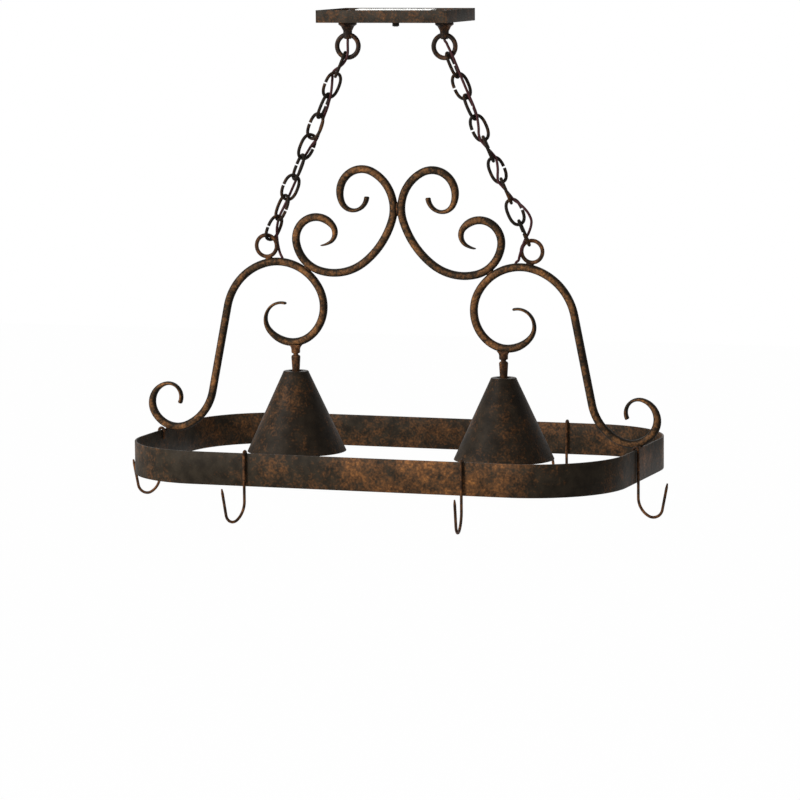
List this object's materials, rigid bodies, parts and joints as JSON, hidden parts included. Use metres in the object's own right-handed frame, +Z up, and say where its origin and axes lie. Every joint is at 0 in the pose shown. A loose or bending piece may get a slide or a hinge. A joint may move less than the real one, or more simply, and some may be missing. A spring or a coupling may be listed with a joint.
{
  "type": "hanging pot rack",
  "caption": "Lighted hanging pot rack: a rounded flat-bar ring on forged scrollwork and chains from a ceiling canopy, with cone downlights and sliding wire hooks.",
  "frame": {"origin": "middle of the ceiling face of the mounting strap", "axes": "+Z up out of the ceiling face, +X to the right along the ring's length, +Y to the back"},
  "size_m": [0.9022, 0.5357, 0.7779],
  "materials": {
    "bronze": "antique bronze paint, satin, speckled with copper",
    "dark_bronze": "near-black antique bronze paint, satin",
    "copper_bronze": "antique bronze paint rubbed with copper, satin",
    "zinc": "zinc plated steel",
    "porcelain": "white glazed porcelain",
    "lamp_glass": "frosted white glass, unlit",
    "wire": "dark maroon insulated wire",
    "nylon": "white nylon",
    "connector": "grey plastic"
  },
  "bodies": {
    "root": {"mounting_strap": "zinc", "canopy": "bronze", "support_bar": "zinc", "centre_stud": "zinc", "centre_nut": "dark_bronze", "loop_nuts": "zinc", "wire_connectors": "connector", "left_loop": "copper_bronze", "right_loop": "copper_bronze"},
    "left_top_link": {"left_link_1": "dark_bronze"},
    "left_chain": {"left_link_2": "dark_bronze", "left_link_3": "dark_bronze", "left_link_4": "dark_bronze", "left_link_5": "dark_bronze", "left_link_6": "dark_bronze", "left_link_7": "dark_bronze", "left_link_8": "dark_bronze", "left_lamp_wire": "wire"},
    "left_end_link": {"left_link_9": "dark_bronze"},
    "right_top_link": {"right_link_1": "dark_bronze"},
    "right_chain": {"right_link_2": "dark_bronze", "right_link_3": "dark_bronze", "right_link_4": "dark_bronze", "right_link_5": "dark_bronze", "right_link_6": "dark_bronze", "right_link_7": "dark_bronze", "right_link_8": "dark_bronze", "right_lamp_wire": "wire"},
    "right_end_link": {"right_link_9": "dark_bronze"},
    "frame": {"ring_band": "bronze", "left_side_scroll": "bronze", "right_side_scroll": "bronze", "left_top_scroll": "bronze", "right_top_scroll": "bronze", "left_eye": "copper_bronze", "right_eye": "copper_bronze", "left_collar": "copper_bronze", "right_collar": "copper_bronze"},
    "left_swivel": {"left_swivel_liner": "nylon"},
    "left_lamp": {"left_stem": "copper_bronze", "left_shade": "bronze", "left_socket": "porcelain", "left_bulb": "lamp_glass", "left_stem_wire": "wire"},
    "right_swivel": {"right_swivel_liner": "nylon"},
    "right_lamp": {"right_stem": "copper_bronze", "right_shade": "bronze", "right_socket": "porcelain", "right_bulb": "lamp_glass", "right_stem_wire": "wire"},
    "front_left_hook_body": {"front_left_hook": "copper_bronze"},
    "front_right_hook_body": {"front_right_hook": "copper_bronze"},
    "back_left_hook_body": {"back_left_hook": "copper_bronze"},
    "back_right_hook_body": {"back_right_hook": "copper_bronze"},
    "left_end_hook_body": {"left_end_hook": "copper_bronze"},
    "right_end_hook_body": {"right_end_hook": "copper_bronze"}
  },
  "joints": [
    {"name": "left_sway", "type": "hinge", "parent": "root", "child": "left_top_link", "pos_m": [-0.08, 0, -0.0577], "axis": [0, 1, 0], "range_deg": [-4, 4], "deforming": ["left_lamp_wire"]},
    {"name": "left_chain_swing", "type": "hinge", "parent": "left_top_link", "child": "left_chain", "pos_m": [-0.10005, 0, -0.10268], "axis": [1, 0, 0], "range_deg": [-10, 10], "deforming": ["left_lamp_wire"]},
    {"name": "left_end_swing", "type": "hinge", "parent": "left_chain", "child": "left_end_link", "pos_m": [-0.20092, 0, -0.32902], "axis": [-1, 0, 0], "range_deg": [-10, 10], "deforming": ["left_lamp_wire"]},
    {"name": "right_sway", "type": "hinge", "parent": "root", "child": "right_top_link", "pos_m": [0.08, 0, -0.0577], "axis": [0, 1, 0], "range_deg": [-4, 4], "deforming": ["right_lamp_wire"]},
    {"name": "right_chain_swing", "type": "hinge", "parent": "right_top_link", "child": "right_chain", "pos_m": [0.10005, 0, -0.10268], "axis": [1, 0, 0], "range_deg": [-10, 10], "deforming": ["right_lamp_wire"]},
    {"name": "right_end_swing", "type": "hinge", "parent": "right_chain", "child": "right_end_link", "pos_m": [0.20092, 0, -0.32902], "axis": [-1, 0, 0], "range_deg": [-10, 10], "deforming": ["right_lamp_wire"]},
    {"name": "frame_level", "type": "hinge", "parent": "left_end_link", "child": "frame", "pos_m": [-0.22093, 0, -0.37392], "axis": [0, 1, 0], "range_deg": [-2, 2], "deforming": ["left_lamp_wire", "right_lamp_wire"]},
    {"name": "left_lamp_tilt", "type": "hinge", "parent": "frame", "child": "left_swivel", "pos_m": [-0.17352, 0, -0.54152], "axis": [1, 0, 0], "range_deg": [-10, 10], "deforming": ["left_lamp_wire", "right_lamp_wire"]},
    {"name": "left_lamp_lean", "type": "hinge", "parent": "left_swivel", "child": "left_lamp", "pos_m": [-0.17352, 0, -0.54152], "axis": [0, 1, 0], "range_deg": [-10, 10]},
    {"name": "right_lamp_tilt", "type": "hinge", "parent": "frame", "child": "right_swivel", "pos_m": [0.17352, 0, -0.54152], "axis": [1, 0, 0], "range_deg": [-10, 10], "deforming": ["left_lamp_wire", "right_lamp_wire"]},
    {"name": "right_lamp_lean", "type": "hinge", "parent": "right_swivel", "child": "right_lamp", "pos_m": [0.17352, 0, -0.54152], "axis": [0, 1, 0], "range_deg": [-10, 10]},
    {"name": "front_left_hook_slide", "type": "slide", "parent": "frame", "child": "front_left_hook_body", "axis": [1, 0, 0], "range_m": [-0.075, 0.15]},
    {"name": "front_right_hook_slide", "type": "slide", "parent": "frame", "child": "front_right_hook_body", "axis": [1, 0, 0], "range_m": [-0.17, 0.06]},
    {"name": "back_left_hook_slide", "type": "slide", "parent": "frame", "child": "back_left_hook_body", "axis": [1, 0, 0], "range_m": [-0.02, 0.2]},
    {"name": "back_right_hook_slide", "type": "slide", "parent": "frame", "child": "back_right_hook_body", "axis": [1, 0, 0], "range_m": [-0.19, 0.045]},
    {"name": "left_end_hook_slide", "type": "slide", "parent": "frame", "child": "left_end_hook_body", "axis": [0, 1, 0], "range_m": [-0.065, 0.006]},
    {"name": "right_end_hook_slide", "type": "slide", "parent": "frame", "child": "right_end_hook_body", "axis": [0, 1, 0], "range_m": [-0.05, 0.022]}
  ],
  "couplings": [
    {"joint": "right_sway", "follows": "left_sway", "ratio": 1},
    {"joint": "frame_level", "follows": "left_sway", "ratio": -0.3621},
    {"joint": "right_chain_swing", "follows": "left_chain_swing", "ratio": 1},
    {"joint": "right_end_swing", "follows": "left_end_swing", "ratio": 1}
  ]
}
